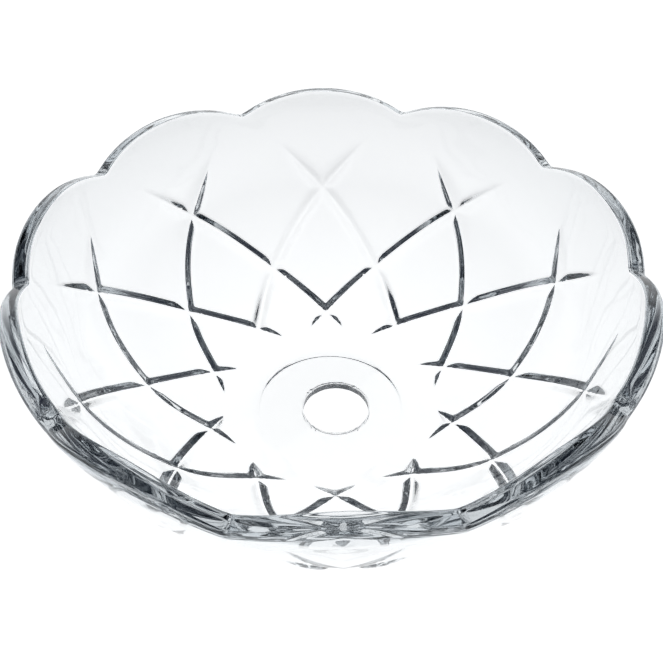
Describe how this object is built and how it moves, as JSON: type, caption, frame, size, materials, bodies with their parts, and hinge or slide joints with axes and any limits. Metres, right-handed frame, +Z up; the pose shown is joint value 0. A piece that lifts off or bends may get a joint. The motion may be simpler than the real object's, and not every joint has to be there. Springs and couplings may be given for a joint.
{
  "type": "scalloped glass bowl with a centre hole",
  "caption": "Clear pressed-glass bowl with a scalloped rim, a diamond lattice of V grooves outside and a plain centre hole for a rod or stem.",
  "frame": {"origin": "centre of the flat base, on the plane that the bowl stands on", "axes": "+Z up along the axis of the bowl; +X through a notch of the rim, on the side that the centre hole is shifted to"},
  "size_m": [0.1204, 0.1216, 0.0429],
  "materials": {
    "glass": "clear, polished"
  },
  "bodies": {
    "root": {"glass_bowl": "glass"}
  },
  "joints": []
}
